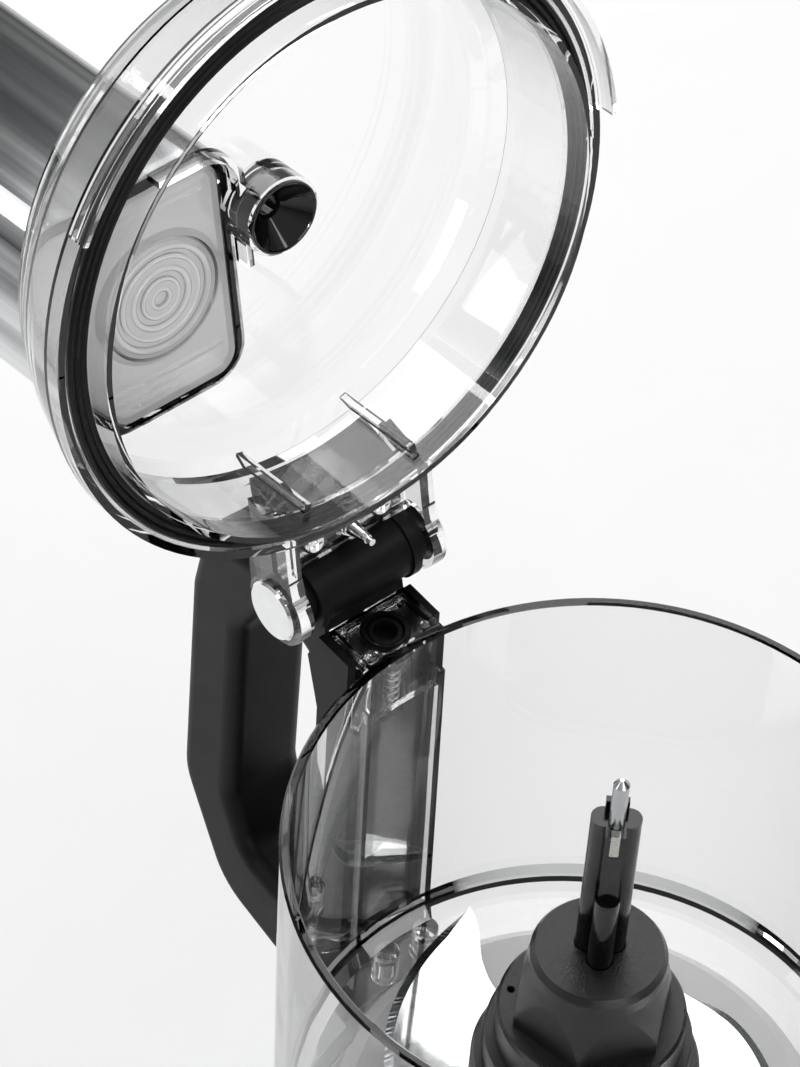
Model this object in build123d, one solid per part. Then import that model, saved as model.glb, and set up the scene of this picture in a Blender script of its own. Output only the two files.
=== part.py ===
from build123d import *
import math
import os

os.makedirs("parts", exist_ok=True)

# Row frame: +Z up, origin on the foot plane under the bowl's axis, front towards -Y,
# handle and lid hinge towards +Y.  Bowl, spindle and blade are drawn from the rim plane (z = 0)
# and lifted; the lid's pieces are drawn closed, in the same rim frame, and then swung open.

# ---- driving dimensions, millimetres -------------------------------------------------------
RIM_Z = 325.0           # rim plane above the feet
RIM_R = 100.0           # outer radius of the rim
WALL = 3.2              # bowl wall
FLOOR = -134.3          # inner floor below the rim
FLOOR_T = 3.0           # floor thickness
SKIRT = -183.0          # lower edge of the bowl's skirt
SKIRT_R = 95.2          # outer radius at that edge
HINGE_Y = 127.26        # hinge axis behind the bowl's axis
HINGE_Z = 10.89         # and above the rim plane
LID_OPEN = 101.45       # degrees from closed to fully open
LID_TOP = 42.0          # lid's top face above the rim
CLEAR = 0.3             # gap between pieces that move past each other
GRIP_SPAN = (-149, 0)   # directions between which the lid's lifting lip runs

BASE_W = 214.0          # housing, across
BASE_FRONT = -126.0     # housing front face
BASE_BACK = 118.0       # housing back face
BASE_FOOT = 9.0         # housing's lower edge
BASE_TOP = 141.7        # shoulder the bowl's skirt stands on
BASE_WAIST = 84.0       # height where the sides begin to draw in
SHOULDER_R = 100.0      # and the round shoulder they draw in to
PANEL_Z = 48.0          # centre of the control panel
PEDESTAL_R = 79.0       # round pedestal inside the skirt
SEAT_R = 91.4           # locating step round its foot, inside the skirt's edge
PEDESTAL_TOP = RIM_Z + FLOOR - FLOOR_T - 1.6
SHELL = 3.0             # housing wall

BOX_HALF = 14.8         # interlock housing behind the rim, half width
BOX_BACK = 117.75       # its back face
PLUNGER_Y = 108.3       # interlock plunger's axis
BARREL_R = 11.2         # hinge barrel
SHAFT_R = 6.0           # motor shaft
SHAFT_TOP = -66.0       # shaft's end, from the rim plane
LOBE_R = 3.9            # spindle: radius of one lobe
LOBE_D = 4.5            # and its distance from the axis
LOBE_AZ = -132.0        # direction of the front lobe
LOBE_CUT = -17.0        # height where the front lobe is cut back to a flat prism
SPINDLE_TOP = 14.0      # top face of the spindle's column
CHUTE_TOP = 152.0       # chute's upper edge above the rim plane
PUSHER_X = -38.0        # small pusher's axis
PUSHER_Y = 17.0


def save(shape, node):
    """Write one sub-part, as its solids alone."""
    solids = shape.solids()
    out = solids[0] if len(solids) == 1 else Compound(children=list(solids))
    export_step(out, f"parts/{node}.step")


def tube(z0, z1, r_out, r_in=0.0, x=0.0, y=0.0):
    """Upright cylinder or ring between two heights."""
    body = Pos(x, y, z0) * extrude(Circle(r_out), z1 - z0)
    if r_in > 0:
        body -= Pos(x, y, z0 - 1) * extrude(Circle(r_in), z1 - z0 + 2)
    return body


def block(x0, x1, y0, y1, z0, z1):
    """Box between two corners."""
    return Pos((x0 + x1) / 2, (y0 + y1) / 2, (z0 + z1) / 2) * Box(x1 - x0, y1 - y0, z1 - z0)


def rod_x(x0, x1, r, y, z):
    """Cylinder along X between two planes."""
    return Pos(x0, y, z) * (Rot(0, 90, 0) * extrude(Circle(r), x1 - x0))


def lathe(points):
    """Turn a closed (radius, height) outline about Z."""
    face = Plane.XZ * make_face(Polyline(*points, close=True))
    return revolve(face, Axis.Z)


def on_bowl(shape):
    """From the rim frame to the row frame."""
    return Pos(0, 0, RIM_Z) * shape


def on_lid(shape):
    """From the closed lid's rim frame to the row frame, with the lid open."""
    swing = Pos(0, HINGE_Y, HINGE_Z) * Rot(-LID_OPEN, 0, 0) * Pos(0, -HINGE_Y, -HINGE_Z)
    return Pos(0, 0, RIM_Z) * swing * shape


def pan_screw(z_seat, length, x, y, head_r=3.8):
    """Cross-head screw standing upright, its head under the seat plane."""
    head = Pos(x, y, z_seat - 2.2) * extrude(Circle(head_r), 2.2)
    head = fillet(head.edges().group_by(Axis.Z)[0], 1.2)
    shank = tube(z_seat - 0.5, z_seat + length, head_r * 0.42, x=x, y=y)
    slot = block(x - 2.2, x + 2.2, y - 0.4, y + 0.4, z_seat - 2.4, z_seat - 1.1)
    slot += block(x - 0.4, x + 0.4, y - 2.2, y + 2.2, z_seat - 2.4, z_seat - 1.1)
    return head + shank - slot


# ---- base ----------------------------------------------------------------------------------
def base_plan(inset=0.0):
    """Plan of the housing: a rectangle with wide round corners."""
    mid = (BASE_FRONT + BASE_BACK) / 2
    w, d = BASE_W - 2 * inset, BASE_BACK - BASE_FRONT - 2 * inset
    return Pos(0, mid) * RectangleRounded(w, d, 44 - inset)


def base_body(inset=0.0):
    """Solid of the housing: upright sides, then drawn in to the round shoulder."""
    lower = Pos(0, 0, BASE_FOOT) * extrude(base_plan(inset), BASE_WAIST - BASE_FOOT)
    side = 2 * (SHOULDER_R - inset) + 0.8
    crown = RectangleRounded(side, side, SHOULDER_R - inset)
    upper = loft([Pos(0, 0, BASE_WAIST) * base_plan(inset), Pos(0, 0, BASE_TOP - inset) * crown])
    tower = block(-17 + inset, 17 - inset, 60, BASE_BACK - inset, 70, BASE_TOP - inset)
    return lower + upper + tower


def panel_cut(grow, y0, y1):
    """Block through the front wall in the outline of the control panel."""
    outline = RectangleRounded(112 + 2 * grow, 54 + 2 * grow, 8 + grow)
    return Pos(0, y1, PANEL_Z) * (Rot(90, 0, 0) * extrude(outline, y1 - y0))


def base_housing():
    body = base_body() - base_body(SHELL)
    body -= Pos(0, 0, BASE_FOOT - 1) * extrude(base_plan(SHELL), 6)
    body -= tube(BASE_TOP - SHELL - 1, BASE_TOP + 1, PEDESTAL_R - 5)
    body -= panel_cut(0, BASE_FRONT - 2, BASE_FRONT + SHELL + 2)
    body -= tube(BASE_TOP - SHELL - 1, BASE_TOP + 1, 4.0, y=PLUNGER_Y)
    body -= Pos(0, BASE_BACK + 2, INLET_Z) * (Rot(90, 0, 0) * extrude(Circle(7), 8))
    for row in range(4):
        vent = Rot(90, 0, 0) * extrude(SlotOverall(76, 3.4), 8)
        body -= Pos(0, BASE_BACK + 2, 46 + 7.5 * row) * vent
    return body


def base_plate():
    plate = Pos(0, 0, BASE_FOOT - 2.4) * extrude(base_plan(SHELL + 0.6), 2.4)
    plate += Pos(0, 0, BASE_FOOT) * extrude(base_plan(SHELL + 0.6) - base_plan(SHELL + 3), 5)
    for y in (-54, -42, -30, 30, 42, 54):
        plate -= Pos(0, y, BASE_FOOT - 4) * extrude(SlotOverall(70, 4), 6)
    for x, y in FOOT_SPOTS:
        plate -= tube(BASE_FOOT - 4, BASE_FOOT + 2, 4.2, x=x, y=y)
    for x, y in MOTOR_POSTS:
        plate += tube(BASE_FOOT, 23.9, 6.0, 2.6, x=x, y=y)
    return plate


INLET_Z = 28.0          # height of the supply inlet
FOOT_SPOTS = [(0, 0)] + [(sx * 80, y) for sx in (-1, 1) for y in (-98, 90)]
MOTOR_POSTS = [(56 * math.cos(math.radians(a)), 56 * math.sin(math.radians(a)))
               for a in (45, 135, 225, 315)]


def foot(x, y):
    pad = lathe([(0, 0), (11, 0), (12.5, 1.5), (11.5, 6.4), (0, 6.4)])
    stem = tube(6.0, 11.0, 4.0)
    rib = tube(9.2, 10.6, 5.0)
    return Pos(x, y, 0) * (pad + stem + rib)


def pedestal():
    """Round top casting: pedestal that fills the bowl's skirt, with the hollow motor column."""
    top = PEDESTAL_TOP
    plug_r = PEDESTAL_R - 5.3
    body = lathe([(0, top - 3.5), (PEDESTAL_R - 7, top - 3.5), (PEDESTAL_R - 3.5, top - 7),
                  (PEDESTAL_R - 3.5, BASE_TOP + 3.5), (plug_r - 2.2, BASE_TOP + 3.5),
                  (plug_r - 2.2, BASE_TOP - 6), (plug_r, BASE_TOP - 6),
                  (plug_r, BASE_TOP + 0.1), (SEAT_R, BASE_TOP + 0.1),
                  (SEAT_R, BASE_TOP + 3), (SEAT_R - 1, BASE_TOP + 4), (PEDESTAL_R, BASE_TOP + 4),
                  (PEDESTAL_R, top - 6), (PEDESTAL_R - 6, top), (0, top)])
    body += tube(top - 1, RIM_Z - 93, 13)
    body -= tube(top - 8, RIM_Z - 92, 9)
    return body


def column_bush():
    return tube(RIM_Z - 113, RIM_Z - 93.5, 9.0, SHAFT_R + 0.05)


def deck_seal():
    """Lip seal on the motor column."""
    top = PEDESTAL_TOP
    return lathe([(13, top), (16.5, top), (16.5, top + 0.9), (13.7, top + 1.1), (13, top + 3.5)])


def control_bezel():
    rim = panel_cut(2.5, BASE_FRONT - 2.0, BASE_FRONT)
    rim = fillet(rim.edges().group_by(Axis.Y)[0], 1.2)
    body = rim + panel_cut(-0.3, BASE_FRONT - 0.5, BASE_FRONT + SHELL + 1)
    z = PANEL_Z
    body -= block(-34, 34, BASE_FRONT - 3, BASE_FRONT - 0.6, z + 2, z + 22)
    body -= block(-30, 30, BASE_FRONT - 3, BASE_FRONT + 6, z + 5, z + 19)
    for x, r in BUTTON_SPOTS.values():
        body -= Pos(x, BASE_FRONT + 6, z - 12) * (Rot(90, 0, 0) * extrude(Circle(r + 0.35), 10))
    return body


BUTTON_SPOTS = {"power_button": (-36, 8.0), "start_button": (0, 10.0), "pulse_button": (36, 8.0)}


def display_window():
    return block(-33.8, 33.8, BASE_FRONT - 2.0, BASE_FRONT - 0.6, PANEL_Z + 2.2, PANEL_Z + 21.8)


def display_module():
    return block(-29.5, 29.5, BASE_FRONT - 0.6, BASE_FRONT + 7, PANEL_Z + 5.5, PANEL_Z + 18.5)


def push_button(x, r):
    """Round key: cap outside, flange behind the bezel."""
    z = PANEL_Z - 12
    cap = Pos(x, BASE_FRONT + 5.5, z) * (Rot(90, 0, 0) * extrude(Circle(r), 9.5))
    cap = fillet(cap.edges().group_by(Axis.Y)[0], 1.2)
    return cap + Pos(x, BASE_FRONT + 7.5, z) * (Rot(90, 0, 0) * extrude(Circle(r + 1.6), 2.6))


def control_board():
    z = PANEL_Z
    board = block(-50, 50, BASE_FRONT + 14, BASE_FRONT + 15.6, z - 22, z + 24)
    for x, _ in BUTTON_SPOTS.values():
        board += block(x - 3, x + 3, BASE_FRONT + 11.5, BASE_FRONT + 14, z - 15, z - 9)
    return board


def rear_inlet():
    """Grommet where the supply lead would enter."""
    flange = Pos(0, BASE_BACK + 2.2, INLET_Z) * (Rot(90, 0, 0) * extrude(Circle(9.5), 2.2))
    neck = Pos(0, BASE_BACK + 0.5, INLET_Z) * (Rot(90, 0, 0) * extrude(Circle(6.9), 7))
    lip = Pos(0, BASE_BACK - SHELL - 0.1, INLET_Z) * (Rot(90, 0, 0) * extrude(Circle(9), 1.6))
    hole = Pos(0, BASE_BACK + 3, INLET_Z) * (Rot(90, 0, 0) * extrude(Circle(3.9), 14))
    return flange + neck + lip - hole


def interlock_switch():
    body = block(-10, 10, PLUNGER_Y - 6.8, PLUNGER_Y + 5, BASE_TOP - 18, BASE_TOP - SHELL - 1.5)
    return body + tube(BASE_TOP - SHELL - 2, BASE_TOP - 3.1, 2.0, y=PLUNGER_Y)


# ---- motor ---------------------------------------------------------------------------------
STATOR_Z = (44.0, 104.0)
STATOR_R = 64.0
BORE_R = 36.6


def stator():
    z0, z1 = STATOR_Z
    core = tube(z0, z1, STATOR_R, BORE_R)
    for i in range(12):
        angle = 30 * i + 15
        core -= Rot(0, 0, angle) * block(BORE_R + 4, BORE_R + 14, -3.5, 3.5, z0 - 1, z1 + 1)
    for x, y in MOTOR_POSTS:
        core -= tube(z0 - 1, z1 + 1, 2.6, x=x, y=y)
    return core


def windings():
    """Coil heads above and below the core, joined through its slots."""
    z0, z1 = STATOR_Z
    coil = tube(z1, z1 + 14, 48, 40) + tube(z0 - 14, z0, 48, 40)
    for i in range(12):
        angle = 30 * i + 15
        coil += Rot(0, 0, angle) * block(BORE_R + 4.4, BORE_R + 13.6, -3.1, 3.1, z0 - 0.1, z1 + 0.1)
    edges = coil.edges().group_by(Axis.Z)
    return fillet([e for e in edges[-1] + edges[0] if e.geom_type == GeomType.CIRCLE], 3)


def end_bracket(z0, z1, seat_z0, seat_z1, arm_z):
    """Cast end frame: bearing seat, four arms and screw lugs."""
    body = tube(seat_z0, seat_z1, 17, 11)
    for x, y in MOTOR_POSTS:
        body += tube(z0, z1, 7.5, x=x, y=y)
        arm = block(14, 51, -4.5, 4.5, arm_z, arm_z + 5.5)
        body += Rot(0, 0, math.degrees(math.atan2(y, x))) * arm
    for x, y in MOTOR_POSTS:
        body -= tube(z0 - 1, z1 + 1, 2.6, x=x, y=y)
    return body


def bearing(z0):
    body = tube(z0, z0 + 8, 11, SHAFT_R + 0.05)
    return body - tube(z0 - 0.1, z0 + 0.6, 9.2, 7.6) - tube(z0 + 7.4, z0 + 8.1, 9.2, 7.6)


def motor_screw(x, y):
    head = tube(128.2, 132.2, 4.4, x=x, y=y)
    return head + tube(14, 128.5, 2.4, x=x, y=y)


def motor_shaft():
    shaft = tube(20, RIM_Z + SHAFT_TOP, SHAFT_R)
    shaft = chamfer(shaft.edges().group_by(Axis.Z)[-1], 1.2)
    flat = block(SHAFT_R - 1.4, 10, -10, 10, RIM_Z + SHAFT_TOP - 22, RIM_Z + SHAFT_TOP + 1)
    return shaft - flat


def rotor():
    z0, z1 = STATOR_Z
    core = tube(z0, z1, BORE_R - 0.6, SHAFT_R)
    return core + tube(z0 - 5, z0, 33, 22) + tube(z1, z1 + 5, 33, 22)


def cooling_fan():
    z0 = 109.5
    fan = tube(z0, z0 + 2, 34, SHAFT_R) + tube(z0, z0 + 5.5, 12, SHAFT_R)
    for i in range(14):
        fan += Rot(0, 0, i * 360 / 14) * block(16, 33.5, -0.8, 0.8, z0 + 1, z0 + 7.5)
    return fan


def run_capacitor():
    can = tube(16, 76, 15, x=-72, y=86)
    can = fillet(can.edges().group_by(Axis.Z)[-1], 2)
    for dx in (-5, 5):
        can += block(-72 + dx - 3, -72 + dx + 3, 85.6, 86.4, 75, 84)
    return can


# ---- bowl ----------------------------------------------------------------------------------
def wall_r(z):
    """Outer radius of the drafted wall at a height below the rim."""
    return RIM_R + (RIM_R - SKIRT_R) * z / -SKIRT


def bowl():
    f = FLOOR
    outer = [(0, f - FLOOR_T), (wall_r(f) - 3.2, f - FLOOR_T), (SKIRT_R - WALL, SKIRT),
             (SKIRT_R, SKIRT), (RIM_R, -1.0), (RIM_R - 0.8, 0), (RIM_R - WALL + 0.6, 0),
             (RIM_R - WALL, -0.8), (wall_r(f) - WALL, f + 7), (wall_r(f) - WALL - 1.6, f + 2.4),
             (wall_r(f) - WALL - 6, f), (0, f)]
    body = lathe(outer)
    body += tube(f - 1, -90, 16.6)
    body -= tube(f - FLOOR_T - 1, -80, 14.0)
    solid_wall = lathe([(0, SKIRT), (SKIRT_R - 1, SKIRT), (RIM_R - 1, 0), (0, 0)])
    body += interlock_box() - solid_wall
    for side in (-1, 1):
        rib = block(side * BOX_HALF - 1.1, side * BOX_HALF + 1.1, 90, 104.5, -160, -20)
        body += rib - solid_wall
    for x in (-8, 8):
        boss = tube(f - 16, f - FLOOR_T + 0.5, 4.4, x=x, y=86.2)
        body += boss - tube(f - 17, f - 8, 1.6, x=x, y=86.2)
    return body


def interlock_box():
    """Open square housing behind the rim, with the seat for the plunger's bellows."""
    h = BOX_HALF
    box = block(-h, h, 92, BOX_BACK, -26, 0)
    box -= block(-h + 1.6, h - 1.6, 100.2, BOX_BACK - 1.3, -2.6, 1)
    box -= block(-h + 1.6, h - 1.6, 101.6, BOX_BACK - 1.3, -27, -5.0)
    box -= tube(-6, 1, 7.6, y=PLUNGER_Y)
    for sx in (-1, 1):
        for y in (102.6, 114.2):
            box += tube(-2.7, -0.8, 1.5, x=sx * 11.2, y=y)
    return box


def interlock_bellows():
    """Soft ring round the plunger, in two folds."""
    y = PLUNGER_Y
    ring = tube(-4.6, -2.5, 7.5, 6.2, y=y) + tube(-2.55, -1.6, 8.0, 6.6, y=y)
    ring += tube(-1.7, -0.8, 7.2, 6.2, y=y)
    return ring


def interlock_plunger():
    """Black cup that the lid's pin presses, on its long rod to the base."""
    y = PLUNGER_Y
    cup = tube(-12, -1.2, 5.7, y=y)
    cup = fillet(cup.edges().group_by(Axis.Z)[-1], 1.0)
    return cup - tube(-5.6, 0, 3.9, y=y)


def interlock_rod():
    return tube(SKIRT + 1.5, -12, 2.0, y=PLUNGER_Y)


def plunger_spring():
    """Coil round the rod, drawn as its turns."""
    y = PLUNGER_Y
    turns = [Pos(0, y, -16.2 - 3.1 * i) * Torus(3.3, 0.45) for i in range(7)]
    return Compound(children=turns)


def side_face(points):
    """Closed (y, z) outline as a face in the YZ plane."""
    return Plane.YZ * make_face(Polyline(*points, close=True))


GRIP_EDGE = 5.5         # rounding along the grip


def round_outline(corners):
    """Face in the YZ plane from (y, z) corners, each with its own rounding radius."""
    face = side_face([point for point, _ in corners])
    for (y, z), r in corners:
        if r:
            spot = Vector(0, y, z)
            near = sorted(face.vertices(), key=lambda v: (Vector(v.X, v.Y, v.Z) - spot).length)
            face = fillet(near[0], r)
    return face


def handle():
    """Black D-shaped loop with the neck behind the bowl and the hinge barrel on top."""
    corners = [((104, -1.5), 0), ((150, -1.5), 14), ((181, -10), 16), ((186, -40), 12),
               ((186, -134), 26), ((163, -174.5), 26), ((132, -181.5), 8), ((100, -181.5), 0)]
    window = [((117, -42), 8), ((117, -137), 9), ((128, -150), 11), ((150, -147), 12),
              ((160.5, -127), 14), ((160.5, -42), 12), ((150, -21), 12), ((130, -18.5), 9),
              ((121, -27), 9)]
    body = extrude(round_outline(corners) - round_outline(window), 15.5, both=True)
    sides = body.edges().group_by(Axis.X)
    rims = [e for e in sides[0] + sides[-1] if e.center().Y > 124 and e.center().Z < 0]
    body = fillet(rims, GRIP_EDGE)
    neck = extrude(side_face([(104, -1.5), (118.5, -1.5), (123, -14), (117, -34), (116.5, -60),
                              (116.5, -150), (110, -181), (100, -181)]), 18.2, both=True)
    body += neck
    h = BOX_HALF + 0.3
    body -= block(-h, h, 90, BOX_BACK + 0.3, -26.3, 2)
    channel = block(-BOX_HALF - 1.4, BOX_HALF + 1.4, 90, 104.8, -160.3, -19.7)
    body -= channel
    clear_wall = lathe([(0, SKIRT - 1), (SKIRT_R + 0.15, SKIRT - 1), (SKIRT_R + 0.15, SKIRT),
                        (RIM_R + 0.15, 0), (RIM_R + 0.15, 3), (0, 3)])
    body -= clear_wall
    body += rod_x(-16.5, 16.5, BARREL_R, HINGE_Y, HINGE_Z)
    for side in (-1, 1):
        body += rod_x(min(side * 16.5, side * 19.6), max(side * 16.5, side * 19.6),
                      BARREL_R + 0.9, HINGE_Y, HINGE_Z)
        body += rod_x(min(side * 19.6, side * 23.0), max(side * 19.6, side * 23.0),
                      BARREL_R - 1.6, HINGE_Y, HINGE_Z)
    web = extrude(side_face([(118.4, -2), (120, 4), (HINGE_Y + 8, 4), (HINGE_Y + 16, -8),
                             (118.4, -10)]), 15.5, both=True)
    body += web
    body -= rod_x(-30, 30, 3.06, HINGE_Y, HINGE_Z)
    body -= tube(-200, 1, 2.35, y=PLUNGER_Y)
    body -= tube(-38.5, 1, 6.1, y=PLUNGER_Y)
    return body


def handle_screw(x):
    return pan_screw(FLOOR - 16, 7.5, x, 86.2, 3.0)


# ---- spindle and blade -----------------------------------------------------------------------
def lobes(z0, z1, grow=0.0, which=(0, 1, 2)):
    """Three round lobes about the axis, the first one facing the front."""
    body = tube(z0, z1, 3.4 + grow)
    for i in which:
        a = math.radians(LOBE_AZ + 120 * i)
        body += tube(z0, z1, LOBE_R + grow, x=LOBE_D * math.cos(a), y=LOBE_D * math.sin(a))
    return body


def spindle():
    """Black drive spindle: socket on the shaft, tri-lobed column, cut-back front lobe."""
    body = tube(-92.4, -89, 13.4) + tube(-89, -59.5, 10.0)
    body += lobes(-60, LOBE_CUT)
    body += lobes(LOBE_CUT, SPINDLE_TOP, which=(1, 2))
    body += Rot(0, 0, LOBE_AZ) * block(0, 5.6, -3.1, 3.1, LOBE_CUT, SPINDLE_TOP)
    body += Rot(0, 0, LOBE_AZ + 180) * block(4.4, 6.6, -3.6, 3.6, SPINDLE_TOP - 2, SPINDLE_TOP + 4.7)
    recess = tube(LOBE_CUT - 12, LOBE_CUT + 1, 2.7, x=1.12 * LOBE_D)
    recess -= block(0, 20, -10, 10, LOBE_CUT - 0.1, 40)
    body -= Rot(0, 0, LOBE_AZ) * recess
    body -= tube(-8, 30, 2.6)
    body -= Rot(0, 0, LOBE_AZ) * block(2.3, 6, -1.5, 1.5, 4.0, SPINDLE_TOP + 1)
    bore = tube(-93, SHAFT_TOP + 1.5, SHAFT_R + CLEAR)
    bore -= block(SHAFT_R - 1.4 + CLEAR, 12, -12, 12, SHAFT_TOP - 20, SHAFT_TOP + 2)
    return body - bore


def spindle_pin():
    pin = tube(-7.5, 34.7, 2.5)
    pin = chamfer(pin.edges().group_by(Axis.Z)[-1], 2.2, 1.8)
    return pin


def spindle_insert():
    """Brass key let into the column's top, in front of the pin."""
    return Rot(0, 0, LOBE_AZ) * block(2.65, 5.3, -1.4, 1.4, 4.1, SPINDLE_TOP - 0.2)


BLADE_Z = {"lower_blade": (-128.6, 0.0), "upper_blade": (-116.0, 180.0)}


def blade(z, turn):
    """Wide curved cutting blade, flat, with its convex edge ground to a bevel."""
    outer = Spline((20, 79), (4, 76.5), (-12, 71), (-28, 61.5), (-42, 47), (-51, 29),
                   (-53, 10), (-46, -6), (-30, -14))
    inner = Spline((22, 30), (9, 36), (5.5, 47), (9, 59), (17, 71), (20, 79))
    root = Line((-30, -14), (22, 30))
    face = make_face([outer, root, inner])
    body = Pos(0, 0, z) * extrude(face, 2.0)
    body = Rot(0, 0, turn) * body
    return body - tube(z - 1, z + 4, 17.4)


HOLE_AZ = 129.0         # direction of the small hole in the hub's shoulder, and of one flat


def blade_hub():
    """Black moulded hub in steps, with six flats and the lobed hole on top."""
    body = lathe([(0, -130.6), (35, -130.6), (36, -129.6), (36, -106), (35, -104), (32.6, -104),
                  (32.6, -92), (31.8, -91), (29.6, -91), (29.6, -79), (28.6, -78), (26.8, -78),
                  (21.6, -55), (21.3, -50.5), (19.8, -48), (0, -48)])
    for i in range(6):
        flat = Rot(0, 0, HOLE_AZ + 60 * i) * block(22.4, 40, -40, 40, -77.9, -54)
        body -= flat
    body -= tube(-131, -88.6, 17.2)
    body -= tube(-89, -59.1, 10.5)
    body -= lobes(-60, -47, grow=CLEAR) + tube(-60, -47, 4.2)
    for z, turn in BLADE_Z.values():
        body -= blade(z, turn)
    hole = Rot(0, 0, HOLE_AZ) * tube(-83, -77, 1.3, x=25.6)
    return body - hole


# ---- lid -------------------------------------------------------------------------------------
def chute_outline(grow):
    """Plan of the chute's inner face, grown outwards."""
    arc_r = 80.5 + grow
    x1, y0, y1 = -12.5 + grow, -23.0 - grow, 57.0 + grow
    bar = Pos((x1 - 90) / 2, (y0 + y1) / 2) * Rectangle(x1 + 90, y1 - y0)
    plan = bar & Circle(arc_r)
    return fillet(plan.vertices(), 9 + grow)


def upright(sketch, z0, z1):
    return Pos(0, 0, z0) * extrude(sketch, z1 - z0)


def lid():
    """Clear dome with skirt, inner ring, chute, centre boss and the two hinge ears, one moulding."""
    dome = lathe([(0, LID_TOP), (78, LID_TOP), (84, 41.2), (88, 38.5), (94.6, 25.7), (101.0, 8),
                  (101.3, 1.0), (98.7, 1.0), (98.3, 8), (91.9, 25.2), (86, 36), (82.5, 38.4),
                  (77.5, LID_TOP - 2.8), (0, LID_TOP - 2.8)])
    body = dome + tube(-8.4, 30, 91, 89)
    body += tube(2.9, 4.9, 97.4, 90.5)
    grip = tube(1.4, 3.8, 104.4, 100.2) + tube(-3.6, 3.8, 104.4, 102.4)
    arc = [(GRIP_SPAN[0] + i * (GRIP_SPAN[1] - GRIP_SPAN[0]) / 12) for i in range(13)]
    fan = [(180 * math.cos(math.radians(a)), 180 * math.sin(math.radians(a))) for a in arc]
    sector = Pos(0, 0, -10) * extrude(make_face(Polyline((0, 0), *fan, close=True)), 20)
    body += grip & sector
    body += ears()
    body += tube(27, LID_TOP, 13.2)
    body += upright(chute_outline(2.6), LID_TOP - 2.8, CHUTE_TOP)
    body -= upright(chute_outline(0), -20, CHUTE_TOP + 1)
    body += mouth_rim()
    body -= tube(26, 33, 12.05)
    body -= tube(26, LID_TOP - 2.9, 8.4)
    for side in (-1, 1):
        body += Rot(0, 0, side * 13.5) * block(-1.2, 1.2, 86, 90, 0, 34)
    body -= tube(0, 20, 1.7, x=13, y=108.8) + tube(0, 20, 1.7, x=-13, y=108.8)
    body -= tube(0, 20, 2.0, y=PLUNGER_Y + 0.4)
    return body


def ears():
    """Bracket plate behind the skirt and an ear at each end, round the hinge axis."""
    keep_out = lathe([(0, -20), (99.5, -20), (99.5, 8), (93.2, 25.5), (0, 25.5)])
    body = block(-23.5, 23.5, 90, HINGE_Y - BARREL_R - 1.4, 10.2, 13.0)
    body += block(-23.5, 23.5, HINGE_Y - BARREL_R - 2.9, HINGE_Y - BARREL_R - 1.4, 8.2, 13.0)
    for side in (-1, 1):
        profile = side_face([(90, 2.4), (112, 2.4), (118, 1.5), (HINGE_Y, 2), (HINGE_Y, 22.5),
                             (116, 22.5), (104, 21.5), (90, 21.5)])
        x0, x1 = sorted((side * 23.5, side * 28.6))
        body += Pos(x0, 0, 0) * extrude(profile, x1 - x0, dir=(1, 0, 0))
        body += rod_x(x0, x1, 12.6, HINGE_Y, HINGE_Z)
    body -= keep_out
    body -= rod_x(-40, 40, 3.0, HINGE_Y, HINGE_Z)
    return body


def mouth_rim():
    """Low rib round the chute's front corner, under the ceiling."""
    rib = chute_outline(5.2) - chute_outline(2.8)
    corner = Pos(-12, -13) * Rectangle(50, 62)
    return upright(rib & corner, LID_TOP - 8.6, LID_TOP - 2.7) - tube(30, LID_TOP - 2.8, 13.1)


def gasket():
    """Black silicone ring on the lid's flange, with two sealing ridges."""
    return lathe([(91.1, 2.8), (97.3, 2.8), (97.6, 1.4), (97.0, 0.4), (96.0, 0.4), (95.4, 1.0),
                  (94.8, 0.4), (93.8, 0.4), (93.2, 1.0), (92.4, 0.4), (91.4, 0.4), (91.1, 1.0)])


def hinge_cover():
    """Black cap over the bracket, held by two screws from below."""
    outline = side_face([(90, 13.2), (HINGE_Y - BARREL_R - 1.6, 13.2), (HINGE_Y - 9, 19.5),
                         (HINGE_Y - 7, 24.5), (114, 28), (90, 28)])
    cover = extrude(outline, 22.6, both=True)
    cover -= lathe([(0, -1), (101.5, -1), (101.3, 8.2), (94.9, 25.8), (88.3, 38.8), (0, 38.8)])
    for x in (-13, 13):
        cover -= tube(12, 20.5, 1.6, x=x, y=108.8)
    return cover


def actuator_pin():
    """Stepped metal pin under the bracket that presses the bowl's plunger."""
    y = PLUNGER_Y + 0.4
    pin = tube(8.2, 10.1, 3.4, y=y) + tube(6.9, 8.4, 3.0, y=y) + tube(9, 13.0, 1.9, y=y)
    cone = Pos(0, y, 7.2) * (Rot(180, 0, 0) * extrude(Circle(2.6), 8.0, taper=8))
    tip = Pos(0, y, -0.6) * (Rot(180, 0, 0) * extrude(Circle(1.15), 2.4))
    return pin + cone + tip


def hinge_cap(side):
    """Polished disc on the ear's outer face."""
    x0, x1 = sorted((side * 28.7, side * 30.6))
    cap = rod_x(x0, x1, 10.3, HINGE_Y, HINGE_Z)
    face = cap.edges().group_by(Axis.X)[-1 if side > 0 else 0]
    return chamfer(face, 0.7)


def center_bush():
    """Black cone that finds the spindle's pin."""
    cone = lathe([(12.0, 25.8), (12.0, 33), (8.3, 33), (8.3, 38.6), (3.3, 38.6), (3.3, 34.5),
                  (4.0, 33.2), (11.0, 26.0), (11.4, 25.8)])
    return cone


def chute_sleeve():
    """Polished metal sleeve round the chute."""
    sleeve = upright(chute_outline(3.7) - chute_outline(2.7), LID_TOP + 0.2, CHUTE_TOP - 4)
    return sleeve


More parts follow.
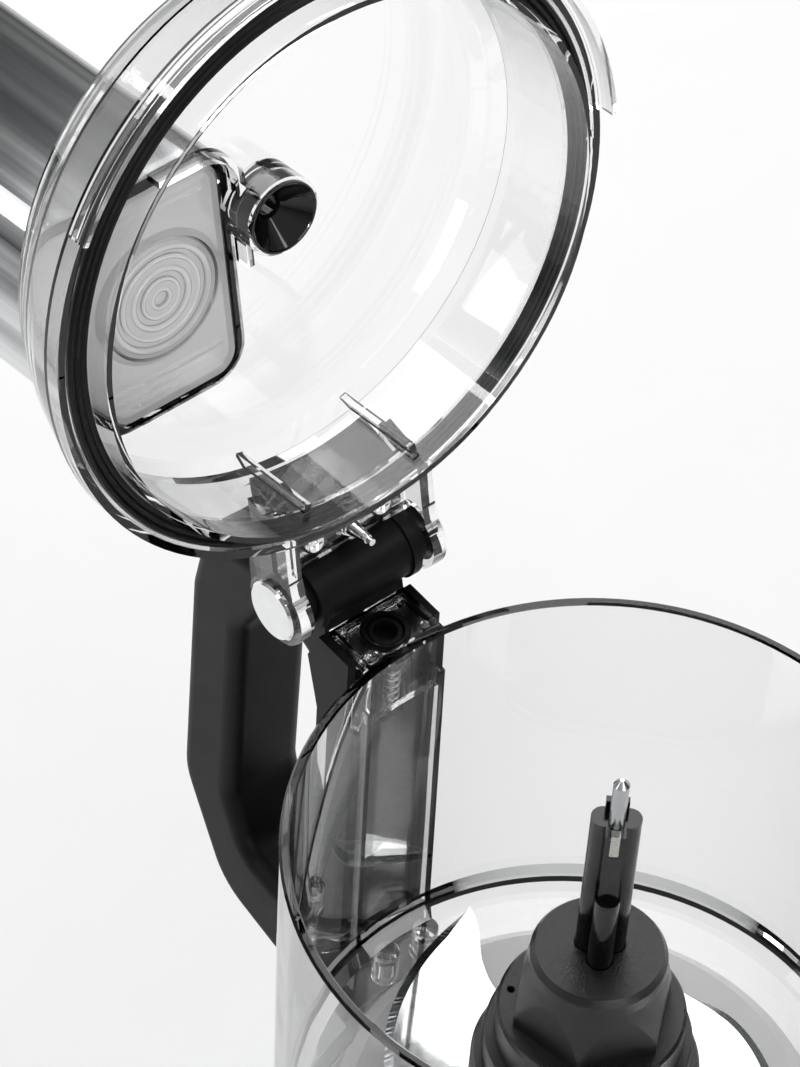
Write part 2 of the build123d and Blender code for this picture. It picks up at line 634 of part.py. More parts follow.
# ---- pushers ---------------------------------------------------------------------------------
def large_pusher():
    """Clear hollow pusher that fills the chute, with a round well for the small one."""
    plan = chute_outline(-CLEAR - 0.1)
    inner = chute_outline(-CLEAR - 2.6)
    z0, z1 = LID_TOP - 3.2, CHUTE_TOP + 10
    body = upright(plan, z0, z1) - upright(inner, z0 + 2.6, z1 + 1)
    body = chamfer(body.edges().group_by(Axis.Z)[0], 1.2)
    body += upright(chute_outline(3.6), CHUTE_TOP + CLEAR, CHUTE_TOP + 3.3) \
        - upright(inner, CHUTE_TOP, z1)
    body += tube(z0 + 0.4, z1, 23.0, x=PUSHER_X, y=PUSHER_Y)
    body -= tube(z0 - 2, z1 + 1, 21.0, x=PUSHER_X, y=PUSHER_Y)
    ridges = [45.5 + 3.2 * i for i in range(4)] + [-19.5 + 3.2 * i for i in range(3)]
    for y in ridges:
        ridge = Pos(-40, y) * Rectangle(46, 1.0)
        body += upright(ridge & plan, z0 + 2.5, z0 + 4.0)
    return body - tube(z0 - 2, z1 + 1, 21.0, x=PUSHER_X, y=PUSHER_Y)


def pusher_ring():
    """Grey top plate of the large pusher, round the small pusher's well."""
    z = CHUTE_TOP + 10
    plate = upright(chute_outline(-CLEAR - 0.1), z + 0.05, z + 3.2)
    plate = fillet(plate.edges().group_by(Axis.Z)[-1], 1.4)
    return plate - tube(z - 1, z + 6, 21.0, x=PUSHER_X, y=PUSHER_Y)


def small_pusher():
    """Clear round pusher with stepped rings on its lower face."""
    z0, z1 = LID_TOP - 3.0, CHUTE_TOP + 15
    r = 20.6
    body = lathe([(0, z0 + 1.0), (3, z0 + 1.0), (3, z0), (7, z0), (7, z0 + 0.8), (11, z0 + 0.8),
                  (11, z0), (15, z0), (15, z0 + 0.8), (18, z0 + 0.8), (18, z0), (r - 0.6, z0),
                  (r, z0 + 0.8), (r, z1), (r - 2.2, z1), (r - 2.2, z0 + 3.2), (0, z0 + 3.2)])
    return Pos(PUSHER_X, PUSHER_Y, 0) * body


def small_pusher_cap():
    z = CHUTE_TOP + 15
    cap = lathe([(0, z + 0.05), (22.6, z + 0.05), (23, z + 0.8), (22, z + 3.6), (20, z + 4.4),
                 (0, z + 4.4)])
    cap += tube(z - 4, z + 0.2, 18.2, 16.4)
    return Pos(PUSHER_X, PUSHER_Y, 0) * cap


# ---- write every sub-part --------------------------------------------------------------------
def group(shapes):
    return Compound(children=[s for shape in shapes for s in shape.solids()])


save(base_housing(), "base_housing")
save(base_plate(), "base_plate")
save(group([foot(x, y) for x, y in FOOT_SPOTS]), "rubber_feet")
save(pedestal(), "pedestal")
save(column_bush(), "column_bush")
save(deck_seal(), "column_seal")
save(control_bezel(), "control_bezel")
save(display_window(), "display_window")
save(display_module(), "display_module")
for name, (spot, radius) in BUTTON_SPOTS.items():
    save(push_button(spot, radius), name)
save(control_board(), "control_board")
save(rear_inlet(), "cord_grommet")
save(interlock_switch(), "interlock_switch")
save(stator(), "motor_stator")
save(windings(), "motor_windings")
save(end_bracket(24.0, 43.8, 22.0, 32.0, 24.0), "lower_motor_bracket")
save(end_bracket(104.2, 128.0, 119.0, 129.0, 120.5), "upper_motor_bracket")
save(bearing(23.0), "lower_bearing")
save(bearing(120.0), "upper_bearing")
save(group([motor_screw(x, y) for x, y in MOTOR_POSTS]), "motor_screws")
save(motor_shaft(), "motor_shaft")
save(rotor(), "motor_rotor")
save(cooling_fan(), "cooling_fan")
save(run_capacitor(), "run_capacitor")

save(on_bowl(bowl()), "bowl")
save(on_bowl(interlock_bellows()), "interlock_bellows")
save(on_bowl(interlock_plunger()), "interlock_plunger")
save(on_bowl(interlock_rod()), "interlock_rod")
save(on_bowl(plunger_spring()), "plunger_spring")
save(on_bowl(handle()), "handle")
save(on_bowl(group([handle_screw(x) for x in (-8, 8)])), "handle_screws")

save(on_bowl(spindle()), "spindle")
save(on_bowl(spindle_pin()), "spindle_pin")
save(on_bowl(spindle_insert()), "spindle_insert")
save(on_bowl(blade_hub()), "blade_hub")
for name, (level, turn) in BLADE_Z.items():
    save(on_bowl(blade(level, turn)), name)

save(on_lid(lid()), "lid")
save(on_lid(gasket()), "lid_gasket")
save(on_lid(hinge_cover()), "hinge_cover")
save(on_lid(group([pan_screw(10.2, 9, x, 108.8) for x in (-13, 13)])), "cover_screws")
save(on_lid(actuator_pin()), "actuator_pin")
save(on_lid(rod_x(-28.5, 28.5, 3.0, HINGE_Y, HINGE_Z)), "hinge_pin")
save(on_lid(group([hinge_cap(-1), hinge_cap(1)])), "hinge_caps")
save(on_lid(center_bush()), "center_bush")
save(on_lid(chute_sleeve()), "chute_sleeve")
save(on_lid(large_pusher()), "large_pusher")
save(on_lid(pusher_ring()), "pusher_top_plate")
save(on_lid(small_pusher()), "small_pusher")
save(on_lid(small_pusher_cap()), "small_pusher_cap")
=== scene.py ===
import math

import bmesh
import bpy
from mathutils import Matrix, Vector


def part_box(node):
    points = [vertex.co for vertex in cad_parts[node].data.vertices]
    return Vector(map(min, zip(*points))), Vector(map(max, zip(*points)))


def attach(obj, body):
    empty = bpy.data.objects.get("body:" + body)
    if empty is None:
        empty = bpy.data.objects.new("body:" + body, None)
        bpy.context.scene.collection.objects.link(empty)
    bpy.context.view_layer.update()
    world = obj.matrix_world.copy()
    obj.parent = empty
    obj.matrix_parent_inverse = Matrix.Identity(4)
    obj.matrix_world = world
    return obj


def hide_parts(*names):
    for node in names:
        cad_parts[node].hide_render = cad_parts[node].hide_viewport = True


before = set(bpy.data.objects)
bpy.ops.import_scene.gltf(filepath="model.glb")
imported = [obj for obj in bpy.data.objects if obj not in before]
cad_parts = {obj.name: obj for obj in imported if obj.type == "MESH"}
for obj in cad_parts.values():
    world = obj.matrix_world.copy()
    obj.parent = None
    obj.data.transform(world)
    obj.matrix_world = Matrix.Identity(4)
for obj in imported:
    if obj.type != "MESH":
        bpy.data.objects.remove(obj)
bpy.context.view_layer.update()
scene = bpy.context.scene


# ---- Camera ------------------------------------------------------------------------------
# A long lens above the front left corner of the machine, looking down on the open lid and
# the bowl's rim, and turned a little about its own axis.
rim_centre = Vector((0.0, 0.0, 0.325))
turn, height_angle, roll = math.radians(-42.72), math.radians(49.23), math.radians(4.87)
look_back = Vector((math.sin(turn) * math.cos(height_angle),
                    -math.cos(turn) * math.cos(height_angle), math.sin(height_angle)))
level_right = Vector((math.cos(turn), math.sin(turn), 0.0))
level_up = look_back.cross(level_right)
frame_right = level_right * math.cos(roll) + level_up * math.sin(roll)
frame_up = level_up * math.cos(roll) - level_right * math.sin(roll)
shift_right, shift_up, distance = -0.063644, 0.09528, 1.79455

camera_data = bpy.data.cameras.new("camera")
camera_data.lens = 202.4
camera_data.sensor_width = 36.0
camera_data.clip_end = 40.0
camera = bpy.data.objects.new("camera", camera_data)
scene.collection.objects.link(camera)
camera_place = rim_centre + shift_right * frame_right + shift_up * frame_up + distance * look_back
camera_axes = Matrix((frame_right, frame_up, look_back)).transposed().to_4x4()
camera.matrix_world = Matrix.Translation(camera_place) @ camera_axes
scene.camera = camera


# ---- Studio floor ------------------------------------------------------------------------
# A wide sheet of white laminate under the machine.  Its speckle is drawn coarser than the
# real one, and is only just seen; the sheet is nearly matt.
def srgb(hex_value):
    """Linear RGBA of an sRGB colour written as six hex digits."""
    parts = [int(hex_value[i:i + 2], 16) / 255 for i in (0, 2, 4)]
    linear = [c / 12.92 if c <= 0.04045 else ((c + 0.055) / 1.055) ** 2.4 for c in parts]
    return (*linear, 1.0)


def add_node(tree, kind, sockets=None, **settings):
    """Add a shader node: its own settings first, then a value or a link for each socket."""
    node = tree.nodes.new("ShaderNode" + kind)
    for key, value in settings.items():
        setattr(node, key, value)
    for name, value in (sockets or {}).items():
        if isinstance(value, bpy.types.NodeSocket):
            tree.links.new(value, node.inputs[name])
        else:
            node.inputs[name].default_value = value
    return node


def new_material(name):
    """Empty node material and its tree."""
    material = bpy.data.materials.new(name)
    material.use_nodes = True
    material.node_tree.nodes.clear()
    return material, material.node_tree


floor_half_width = 9
floor_mesh = bpy.data.meshes.new("studio_floor")
floor_mesh.from_pydata([(x * floor_half_width, y * floor_half_width, 0)
                        for x, y in ((-1, -1), (1, -1), (1, 1), (-1, 1))], [], [(0, 1, 2, 3)])
floor = bpy.data.objects.new("studio_floor", floor_mesh)
scene.collection.objects.link(floor)
floor_material, tree = new_material("white_laminate")
speckle_mm = 2.5
speckle = add_node(tree, "TexNoise", {"Scale": 1000 / speckle_mm, "Detail": 3.0})
tone = add_node(tree, "ValToRGB", {"Fac": speckle.outputs["Fac"]})
tone.color_ramp.elements[0].color = srgb("f3f3f3")
tone.color_ramp.elements[1].color = srgb("f6f6f6")
sheet = add_node(tree, "BsdfPrincipled", {"Base Color": tone.outputs["Color"], "Roughness": 0.75,
                                          "Specular IOR Level": 0.1})
add_node(tree, "OutputMaterial", {"Surface": sheet.outputs["BSDF"]})
floor_mesh.materials.append(floor_material)


# ---- Studio light ------------------------------------------------------------------------
# Two large softboxes, three small ones and a snoot, in a room that is paler overhead.  Dark flags
# stand low around the set, which give clear and polished pieces their dark edges, with painted
# shade in the clear plastic's colour adding to them.
world = bpy.data.worlds.new("studio")
scene.world = world
world.use_nodes = True
tree = world.node_tree
tree.nodes.clear()
direction = add_node(tree, "TexCoord")
parts = add_node(tree, "SeparateXYZ", {"Vector": direction.outputs["Generated"]})
rise = add_node(tree, "ValToRGB", {"Fac": parts.outputs["Z"]})
for stop, position, level in zip(rise.color_ramp.elements, (0.0, 0.55), (0.17, 0.58)):
    stop.position = position
    stop.color = (level, level, level, 1)
around = add_node(tree, "TexGradient", {"Vector": direction.outputs["Generated"]},
                  gradient_type="RADIAL")
flags = add_node(tree, "ValToRGB", {"Fac": around.outputs["Fac"]})
flags.color_ramp.interpolation = "EASE"
for stop, position in zip(flags.color_ramp.elements, (0.0, 1.0)):
    stop.position = position
    stop.color = (0.05, 0.05, 0.05, 1)
for position, level in ((0.08, 1.0), (0.30, 1.0), (0.36, 0.06), (0.42, 0.06), (0.48, 1.0),
                        (0.62, 1.0), (0.68, 0.1), (0.76, 0.1), (0.82, 1.0), (0.93, 1.0)):
    stop = flags.color_ramp.elements.new(position)
    stop.color = (level, level, level, 1)
above = add_node(tree, "MapRange", {"Value": parts.outputs["Z"], "From Min": 0.35, "From Max": 0.6})
low = add_node(tree, "Mix", {0: above.outputs["Result"], 6: flags.outputs["Color"],
                             7: (1, 1, 1, 1)}, data_type="RGBA")
sky = add_node(tree, "Mix", {0: 1.0, 6: rise.outputs["Color"], 7: low.outputs[2]},
               data_type="RGBA", blend_type="MULTIPLY")
air = add_node(tree, "Background", {"Color": sky.outputs[2], "Strength": 1.0})
add_node(tree, "OutputWorld", {"Surface": air.outputs["Background"]})


def hang_lamp(lamp, place, aim):
    """Put a lamp in the scene, facing a point, and out of the camera's sight."""
    lamp_object = bpy.data.objects.new(lamp.name, lamp)
    scene.collection.objects.link(lamp_object)
    lamp_object.location = place
    lamp_object.visible_camera = False
    towards = Vector(aim) - Vector(place)
    lamp_object.rotation_euler = towards.to_track_quat("-Z", "Y").to_euler()


for name, place, aim, size, watts in (
        ("rear_softbox", (0.35, 1.35, 1.8), (0.15, 0.35, 0.0), (2.4, 1.4), 25),
        ("left_softbox", (-2.0, 0.5, 1.4), (0, 0, 0.3), (0.4, 1.4), 7),
        ("strip_softbox", (-0.8, 2.0, 1.1), (0, 0.2, 0.4), (0.10, 1.3), 3),
        ("front_softbox", (-0.3, -1.9, 0.9), (0, 0.1, 0.4), (1.3, 0.7), 9),
        ("right_softbox", (0.75, -0.65, 1.55), (0, 0.13, 0.34), (0.35, 0.35), 2.5)):
    softbox = bpy.data.lights.new(name, "AREA")
    softbox.shape = "RECTANGLE"
    softbox.size, softbox.size_y = size
    softbox.energy = watts
    hang_lamp(softbox, place, aim)

snoot = bpy.data.lights.new("snoot", "SPOT")
snoot.energy = 34
snoot.spot_size = math.radians(3.4)
snoot.spot_blend = 0.6
snoot.shadow_soft_size = 0.03
chute_mouth = (-0.030, 0.13, 0.445)
hang_lamp(snoot, (-0.35, -1.8, 0.75), chute_mouth)

scene.view_settings.view_transform = "Standard"
scene.cycles.max_bounces = 32
scene.cycles.transmission_bounces = 24
scene.cycles.transparent_max_bounces = 32
scene.cycles.caustics_reflective = False
scene.cycles.caustics_refractive = False


# ---- Base housing, base plate and feet ---------------------------------------------------
# Steel housing of the motor, drawn and sprayed silver-grey.  A black ABS plate closes it
# below and stands on five rubber feet, and a grommet lines the hole for the lead.
def opaque_moulding(name, tones, rough, grain_mm, relief_mm, gloss=0.5):
    """Opaque plastic, rubber or paint with the fine grain of its mould."""
    material, tree = new_material(name)
    where = add_node(tree, "TexCoord")
    grain = add_node(tree, "TexNoise", {"Vector": where.outputs["Object"],
                                        "Scale": 1000 / grain_mm, "Detail": 3.0})
    relief = add_node(tree, "Bump", {"Height": grain.outputs["Fac"], "Strength": 0.4,
                                     "Distance": relief_mm / 1000})
    wear = add_node(tree, "TexNoise", {"Vector": where.outputs["Object"], "Scale": 60.0,
                                       "Detail": 5.0})
    tone = add_node(tree, "ValToRGB", {"Fac": wear.outputs["Fac"]})
    for stop, position, hex_value in zip(tone.color_ramp.elements, (0.3, 0.7), tones):
        stop.position = position
        stop.color = srgb(hex_value)
    polish = add_node(tree, "MapRange", {"Value": wear.outputs["Fac"], "To Min": rough * 0.85,
                                         "To Max": rough * 1.15})
    body = add_node(tree, "BsdfPrincipled", {
        "Base Color": tone.outputs["Color"], "Roughness": polish.outputs["Result"],
        "Specular IOR Level": gloss, "Normal": relief.outputs["Normal"]})
    add_node(tree, "OutputMaterial", {"Surface": body.outputs["BSDF"]})
    return material


def dress(material, *nodes):
    """Give CAD nodes their material."""
    for node in nodes:
        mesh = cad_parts[node].data
        mesh.materials.clear()
        mesh.materials.append(material)


# Sprayed paint: even, faintly pebbled, with a soft sheen.
silver_paint = opaque_moulding("silver_grey_paint", ("cdcfd0", "d6d8d9"), 0.3, 0.8, 0.04)
dress(silver_paint, "base_housing")

# ABS from a spark-eroded mould: deep black, with a dull, fine grain.
matte_black = opaque_moulding("handle_black_abs", ("080809", "0d0d0e"), 0.48, 0.9, 0.05, 0.16)
dress(matte_black, "base_plate")

# Moulded silicone or rubber: black, smooth and slightly dull.
silicone = opaque_moulding("black_silicone", ("050505", "0a0a0a"), 0.35, 1.0, 0.03, 0.2)
dress(silicone, "rubber_feet", "cord_grommet")


# ---- Motor -------------------------------------------------------------------------------
# Induction motor between two cast brackets on four screws: laminated stator with enamelled
# copper windings, rotor and shaft in two ball bearings, a fan, and a capacitor beside it.
def metal(name, tones, rough, grain_mm, stretch=(1, 1, 1), relief_mm=0.01, lean=0.0):
    """Metal with the fine marks that its finishing leaves; where its tones lie far apart, the same
    marks are painted reflection bands.
    """
    material, tree = new_material(name)
    where = add_node(tree, "TexCoord")
    lean_back = add_node(tree, "Mapping", {"Vector": where.outputs["Object"],
                                           "Rotation": (math.radians(lean), 0, 0)})
    lie = add_node(tree, "Mapping", {"Vector": lean_back.outputs["Vector"], "Scale": stretch})
    marks_and_painted_bands = add_node(tree, "TexNoise", {"Vector": lie.outputs["Vector"],
                                        "Scale": 1000 / grain_mm, "Detail": 4.0})
    tone = add_node(tree, "ValToRGB", {"Fac": marks_and_painted_bands.outputs["Fac"]})
    for stop, position, hex_value in zip(tone.color_ramp.elements, (0.3, 0.7), tones):
        stop.position = position
        stop.color = srgb(hex_value)
    polish = add_node(tree, "MapRange", {"Value": marks_and_painted_bands.outputs["Fac"], "To Min": rough * 0.7,
                                         "To Max": rough * 1.3})
    relief = add_node(tree, "Bump", {"Height": marks_and_painted_bands.outputs["Fac"], "Strength": 0.2,
                                     "Distance": relief_mm / 1000})
    body = add_node(tree, "BsdfPrincipled", {
        "Base Color": tone.outputs["Color"], "Metallic": 1.0,
        "Roughness": polish.outputs["Result"], "Normal": relief.outputs["Normal"]})
    add_node(tree, "OutputMaterial", {"Surface": body.outputs["BSDF"]})
    return material


# Stacked sheets and bare castings: grey and dull, with level lines.
iron = metal("laminated_iron", ("6c6f73", "84878b"), 0.4, 0.9, (1, 1, 12))
dress(iron, "motor_stator", "motor_rotor", "lower_motor_bracket", "upper_motor_bracket")

# Wound wire under clear enamel: warm brown-red, streaked along the turns.
copper = metal("enamelled_copper", ("8f4d26", "b56a3a"), 0.3, 1.2, (1, 1, 10))
dress(copper, "motor_windings")

# Turned steel: satin grey, with fine level rings.
turned_steel = metal("turned_steel", ("b4b6b8", "c8cacc"), 0.25, 0.8, (1, 1, 8))
dress(turned_steel, "motor_shaft", "lower_bearing", "upper_bearing", "motor_screws",
      "run_capacitor")
dress(matte_black, "cooling_fan")


# ---- Control panel -----------------------------------------------------------------------
# Black bezel let into the front of the housing, with a clear window over the display
# module, three glossy push buttons, and the board behind them.
def clear_moulding(name, tint, edge, haze, ripple_mm, milk=0.0):
    """Clear plastic with painted shade: its colour greys where it is seen edge on; lamps shine
    through it.
    """
    material, tree = new_material(name)
    where = add_node(tree, "TexCoord")
    # Painted shade: the colour turns from the tint to the edge grey as the surface is seen edge on,
    # standing in for dark surroundings seen through it.
    slant = add_node(tree, "LayerWeight", {"Blend": 0.35})
    painted_edge_shade = add_node(tree, "ValToRGB", {"Fac": slant.outputs["Facing"]})
    for stop, position, hex_value in zip(painted_edge_shade.color_ramp.elements, (0.25, 0.85), (tint, edge)):
        stop.position = position
        stop.color = srgb(hex_value)
    ripple = add_node(tree, "TexNoise", {"Vector": where.outputs["Object"],
                                         "Scale": 1000 / ripple_mm, "Detail": 1.0})
    relief = add_node(tree, "Bump", {"Height": ripple.outputs["Fac"], "Strength": 0.05,
                                     "Distance": 0.0004})
    wear = add_node(tree, "TexNoise", {"Vector": where.outputs["Object"], "Scale": 220.0,
                                       "Detail": 4.0})
    polish = add_node(tree, "MapRange", {"Value": wear.outputs["Fac"], "To Min": haze * 0.5,
                                         "To Max": haze * 1.5})
    solid = add_node(tree, "BsdfPrincipled", {
        "Base Color": painted_edge_shade.outputs["Color"], "Roughness": polish.outputs["Result"],
        "IOR": 1.49, "Transmission Weight": 1.0 - milk, "Normal": relief.outputs["Normal"]})
    open_air = add_node(tree, "BsdfTransparent", {"Color": srgb(tint)})
    rays = add_node(tree, "LightPath")
    both = add_node(tree, "MixShader", {0: rays.outputs["Is Shadow Ray"],
                                        1: solid.outputs["BSDF"], 2: open_air.outputs["BSDF"]})
    add_node(tree, "OutputMaterial", {"Surface": both.outputs["Shader"]})
    return material


dress(matte_black, "control_bezel", "display_module", "control_board")

# Polished copolyester: quite clear, with painted shade that greys its colour at its edges, and a
# slow ripple from the mould.
clear_copolyester = clear_moulding("clear_copolyester", "fcfcfc", "8f9192", 0.012, 30)
dress(clear_copolyester, "display_window")

# ABS from a polished mould: black with sharp highlights.
gloss_black = opaque_moulding("gloss_black_abs", ("050505", "080808"), 0.07, 6.0, 0.02, 0.4)
dress(gloss_black, "power_button", "start_button", "pulse_button")


# ---- Pedestal ----------------------------------------------------------------------------
# Round casting, enamelled white, on top of the housing, with the hollow column that the
# bowl drops over.  A brass bush and a lip seal in the column hold and seal the shaft.

# White enamel here, and white ABS on the pushers: off-white and smooth.
white_abs = opaque_moulding("white_abs", ("dededd", "e4e4e3"), 0.2, 2.0, 0.02)
dress(white_abs, "pedestal")

# Turned brass: dull yellow, with fine marks.
brass = metal("turned_brass", ("8a6d3a", "a3854c"), 0.25, 0.8)
dress(brass, "column_bush")
dress(silicone, "column_seal")


# ---- Bowl --------------------------------------------------------------------------------
# One clear copolyester moulding from a polished mould: the bowl, the skirt that drops over
# the pedestal, and the square housing of the interlock behind the rim.
dress(clear_copolyester, "bowl")


# ---- Handle and interlock ----------------------------------------------------------------
# Black ABS grip screwed to the back of the bowl.  The lid's pin presses a sprung black cup,
# whose steel rod works the switch in the base, and a soft bellows keeps water out.
dress(matte_black, "handle", "interlock_plunger", "interlock_switch")
dress(turned_steel, "handle_screws", "plunger_spring", "interlock_rod")
dress(silicone, "interlock_bellows")


# ---- Spindle -----------------------------------------------------------------------------
# Black moulded column in three lobes that sits on the motor's shaft, with a pointed steel
# pin pressed into its top and a nickel-plated brass key beside the pin.

# Glass-filled nylon from a polished mould: black, with narrow highlights on its lobes.
spindle_black = opaque_moulding("spindle_black", ("050505", "0a0a0a"), 0.14, 0.9, 0.04)
dress(spindle_black, "spindle")
dress(turned_steel, "spindle_pin")

# Nickel plate over brass: pale, slightly warm grey.
nickel = metal("nickel_plated_brass", ("b3b1aa", "cdcbc5"), 0.15, 0.8)
dress(nickel, "spindle_insert")


# ---- Blades and hub ----------------------------------------------------------------------
# Two curved blades stamped from 2 mm stainless sheet and polished on top, cast into a black
# hub.  Each convex edge is ground to a long bevel with fine serrations.

# Glass-filled nylon from a grained mould: black with a coarse grain.
satin_black = opaque_moulding("glass_filled_black", ("050505", "101010"), 0.26, 0.7, 0.60, 0.55)
dress(satin_black, "blade_hub")

# Polished stainless: bright and mirror-like.
mirror_steel = metal("polished_stainless", ("e2e3e4", "eceded"), 0.05, 3.0)

# Ground stainless: darker and duller than the polished top, with the stone's fine marks.
bevel_steel = metal("ground_stainless", ("7d8083", "a3a6a9"), 0.22, 0.5, (1, 1, 1), 0.05)
dress(mirror_steel, "lower_blade", "upper_blade")

mm = 0.001              # sizes of the blades are in millimetres
bevel_width, least_bevel, tooth_pitch, tooth_depth, land_height = 3.2, 0.05, 1.6, 0.35, 0.4
bevel_fade = 8          # the bevel runs out over one part in this many of its length
edge_steps, back_steps = 150, 90
hub_bore_radius = 17.5
root_arc = [(hub_bore_radius * math.cos(math.radians(angle)),
             hub_bore_radius * math.sin(math.radians(angle))) for angle in range(190, 69, -20)]
cutting_side = [(20, 79), (4, 76.5), (-12, 71), (-28, 61.5), (-42, 47), (-51, 29), (-53, 10),
                (-46, -6)]
back_side = [(-30, -14), *root_arc, (22, 30), (9, 36), (5.5, 47), (9, 59), (17, 71)]


def smooth_curve(points, count):
    """Points along a Catmull-Rom curve through the given ones."""
    padded = [points[0], *points, points[-1]]
    out = []
    for i in range(count):
        t = i / (count - 1) * (len(points) - 1)
        k = min(int(t), len(points) - 2)
        t -= k
        p0, p1, p2, p3 = (Vector(q) for q in padded[k:k + 4])
        out.append(0.5 * (2 * p1 + (p2 - p0) * t + (2 * p0 - 5 * p1 + 4 * p2 - p3) * t ** 2
                          + (3 * p1 - p0 - 3 * p2 + p3) * t ** 3))
    return out


def ground_edge(cutting):
    """The serrated outer line of the bevel, and its inner line on the blade's top."""
    count = len(cutting)
    outer, inner, travelled = [], [], 0.0
    for i, point in enumerate(cutting):
        along = (cutting[min(i + 1, count - 1)] - cutting[max(i - 1, 0)]).normalized()
        across = Vector((-along.y, along.x))
        inward = across if across.dot(-point) > 0 else -across
        ends = min(1.0, bevel_fade * min(i, count - 1 - i) / count)
        travelled += (point - cutting[i - 1]).length if i else 0.0
        tooth = tooth_depth * abs((travelled / tooth_pitch) % 1 - 0.5) * 2 * ends
        outer.append(point + inward * tooth)
        inner.append(point + inward * (least_bevel + bevel_width * ends))
    return outer, inner


def build_blade(name, node, side):
    """One blade: mirror top, ground bevel with teeth, flat underside.  The side is 1 or -1."""
    low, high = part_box(node)
    cutting = smooth_curve(cutting_side, edge_steps)
    back = smooth_curve([cutting_side[-1], *back_side, cutting_side[0]], back_steps)[1:-1]
    outer, inner = ground_edge(cutting)
    count = len(cutting)
    shape = bmesh.new()

    def ring(points, z):
        return [shape.verts.new((side * q.x * mm, side * q.y * mm, z)) for q in points]

    top = ring(inner, high.z) + ring(back, high.z)
    edge = ring(outer, low.z + land_height * mm)
    under = ring(outer, low.z) + ring(back, low.z)
    shape.faces.new(top)
    shape.faces.new(list(reversed(under)))
    for i in range(count - 1):
        bevel_face = shape.faces.new((top[i], edge[i], edge[i + 1], top[i + 1]))
        bevel_face.material_index = 1
        shape.faces.new((edge[i], under[i], under[i + 1], edge[i + 1]))
    shape.faces.new((top[count - 1], edge[count - 1], under[count - 1], under[count], top[count]))
    for i in range(count, len(top) - 1):
        shape.faces.new((top[i], under[i], under[i + 1], top[i + 1]))
    shape.faces.new((top[-1], under[-1], under[0], edge[0], top[0]))
    bmesh.ops.recalc_face_normals(shape, faces=shape.faces)
    bmesh.ops.triangulate(shape, faces=[f for f in shape.faces if len(f.verts) > 5])
    mesh = bpy.data.meshes.new(name)
    shape.to_mesh(mesh)
    shape.free()
    mesh.materials.append(mirror_steel)
    mesh.materials.append(bevel_steel)
    blade = bpy.data.objects.new(name, mesh)
    scene.collection.objects.link(blade)
    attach(blade, "blade_unit")
    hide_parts(node)


build_blade("lower_cutting_blade", "lower_blade", 1)
build_blade("upper_cutting_blade", "upper_blade", -1)


# ---- Lid and hinge -----------------------------------------------------------------------
# Clear copolyester dome, moulded in one with its chute and hinge ears, with a silicone
# gasket round it and a black cone that finds the spindle's pin.  Two screws hold a black
# cover on the hinge, whose pin ends in two chromed caps.
dress(clear_copolyester, "lid")
dress(silicone, "lid_gasket")
dress(gloss_black, "center_bush")

# ABS from a fine-grained mould: deep black with hardly any shine.
cover_black = opaque_moulding("cover_black_abs", ("040404", "070707"), 0.3, 2.0, 0.02, 0.12)
dress(cover_black, "hinge_cover")

# Chrome plate: near-white mirror.
bright_chrome = metal("chrome_plate", ("e6e7e8", "f0f0f1"), 0.04, 5.0)
dress(bright_chrome, "hinge_caps", "cover_screws", "hinge_pin", "actuator_pin")


# ---- Chute sleeve and pushers ------------------------------------------------------------
# A drawn stainless sleeve stands round the chute.  The large pusher, clear copolyester under
# a white ABS plate, slides in the chute, and a small round one with a white cap in that.

# Drawn stainless: mirror-like, with painted reflections: broad bands from dark grey to near white
# in its colour.  The bands lie along the chute, which leans this many degrees back where the lid
# rests.
chute_slant = 11.45
# Painted reflection: the colour runs in long bands from dark grey to near white.
painted_band_steel = metal("stainless_painted_reflections", ("5c5f62", "f4f5f6"), 0.08, 15.0, (1, 0.02, 1), 0.4,
                    chute_slant)
dress(painted_band_steel, "chute_sleeve")

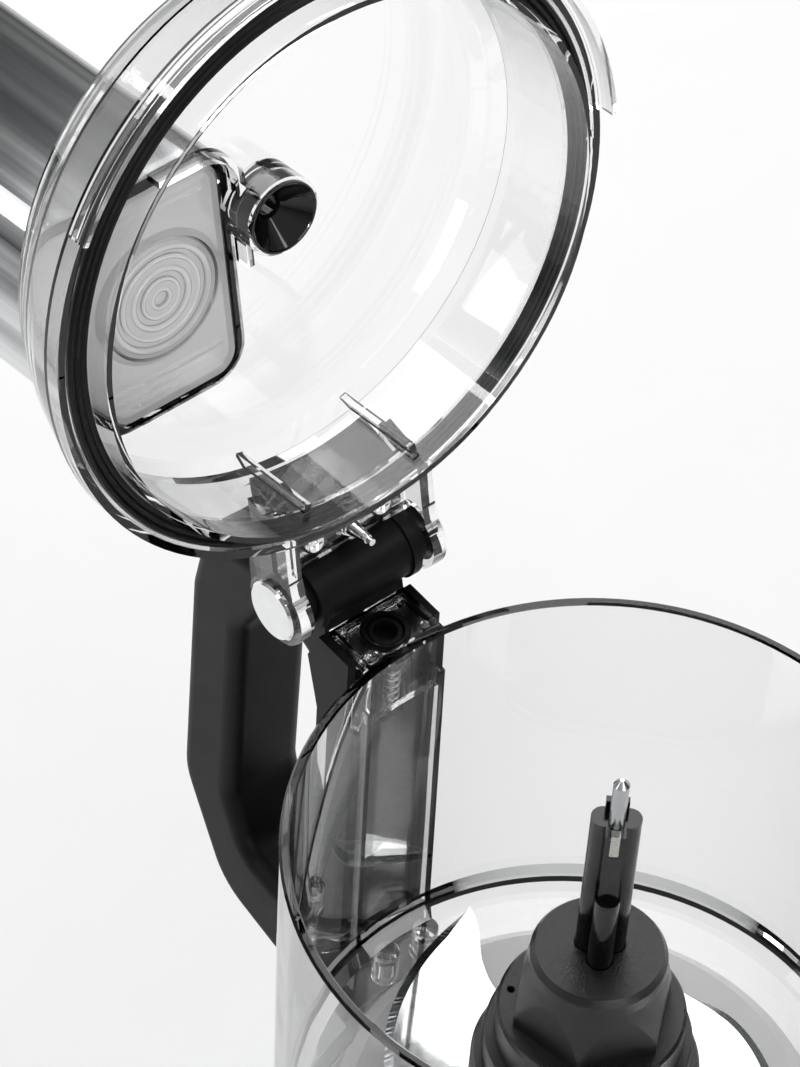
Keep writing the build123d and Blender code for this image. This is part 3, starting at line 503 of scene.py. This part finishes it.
# Copolyester, less polished: slightly milky, and greyed at its edges by the same painted shade.
pusher_copolyester = clear_moulding("pusher_copolyester", "fdfdfd", "8c8e90", 0.02, 12, 0.4)
dress(pusher_copolyester, "large_pusher", "small_pusher")
dress(white_abs, "pusher_top_plate", "small_pusher_cap")


# ---- Small pusher's foot -----------------------------------------------------------------
# Clear rings moulded on the lower face of the small pusher, which grip what it presses.
# They are drawn on the closed lid and carried to where the open lid holds them.
lid_opening = math.radians(101.45)
hinge_axis = Vector((0.0, 0.12726, 0.33589))
hinge_from_rim_mm = (127.26, 10.89)
pusher_axis_mm = (-38, 17)
foot_level_mm = 39.4


def from_closed(x, y, z):
    """A point of the closed lid, in mm from the rim's centre, on the open lid in metres."""
    dy, dz = y - hinge_from_rim_mm[0], z - hinge_from_rim_mm[1]
    out = dy * math.cos(lid_opening) + dz * math.sin(lid_opening)
    up = -dy * math.sin(lid_opening) + dz * math.cos(lid_opening)
    return Vector((x / 1000, hinge_axis.y + out / 1000, hinge_axis.z + up / 1000))


def foot_rings():
    """Round rings about the small pusher's axis, one mesh."""
    shape = bmesh.new()
    around, across = 96, 10
    for radius, swell in ((3.2, 0.9), (6.6, 0.8), (10.2, 1.1), (14.0, 0.8), (17.6, 1.2)):
        rows = []
        for i in range(around):
            angle = 2 * math.pi * i / around
            row = []
            for j in range(across):
                lift = 2 * math.pi * j / across
                r = radius + swell * math.cos(lift)
                row.append(shape.verts.new(from_closed(
                    pusher_axis_mm[0] + r * math.cos(angle),
                    pusher_axis_mm[1] + r * math.sin(angle),
                    foot_level_mm + swell * math.sin(lift))))
            rows.append(row)
        for i in range(around):
            for j in range(across):
                k, m = (i + 1) % around, (j + 1) % across
                face = shape.faces.new((rows[i][j], rows[k][j], rows[k][m], rows[i][m]))
                face.smooth = True
    bmesh.ops.recalc_face_normals(shape, faces=shape.faces)
    mesh = bpy.data.meshes.new("pusher_foot_rings")
    shape.to_mesh(mesh)
    shape.free()
    mesh.materials.append(pusher_copolyester)
    rings = bpy.data.objects.new("pusher_foot_rings", mesh)
    scene.collection.objects.link(rings)
    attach(rings, "small_pusher_unit")


foot_rings()
